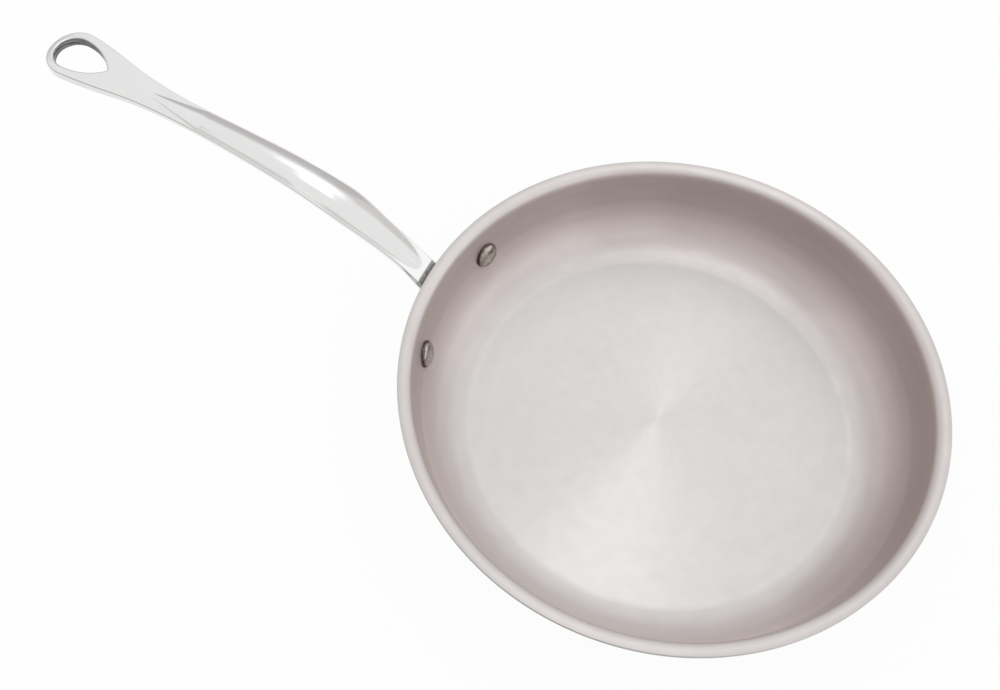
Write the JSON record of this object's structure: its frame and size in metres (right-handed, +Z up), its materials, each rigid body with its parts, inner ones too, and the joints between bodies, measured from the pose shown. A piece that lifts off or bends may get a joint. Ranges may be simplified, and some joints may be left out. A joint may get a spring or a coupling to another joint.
{
  "type": "frying pan",
  "caption": "Round open frying pan with a steep wall and a flared lip, and a long curved cast handle that is riveted to the wall and ends in a teardrop hanging eye.",
  "frame": {"origin": "centre of the pan's flat underside", "axes": "+Z up, out of the pan's mouth; +X along the handle; the pan is symmetric about the plane Y = 0"},
  "size_m": [0.481, 0.268, 0.1095],
  "materials": {
    "cooking_steel": "satin stainless steel, spun and brushed round the axis, soft warm grey",
    "core_aluminium": "plain aluminium core, seen only as a line in the cut edge of the rim",
    "outer_steel": "satin stainless steel, brushed round the axis",
    "cast_steel": "cast stainless steel, softly polished on the grip, left as cast on the end face beside the lip",
    "rivet_steel": "turned stainless steel rivet with a smooth low dome"
  },
  "bodies": {
    "root": {"cooking_ply": "cooking_steel", "core_ply": "core_aluminium", "outer_ply": "outer_steel", "handle": "cast_steel", "rivet_left": "rivet_steel", "rivet_right": "rivet_steel"}
  },
  "joints": []
}
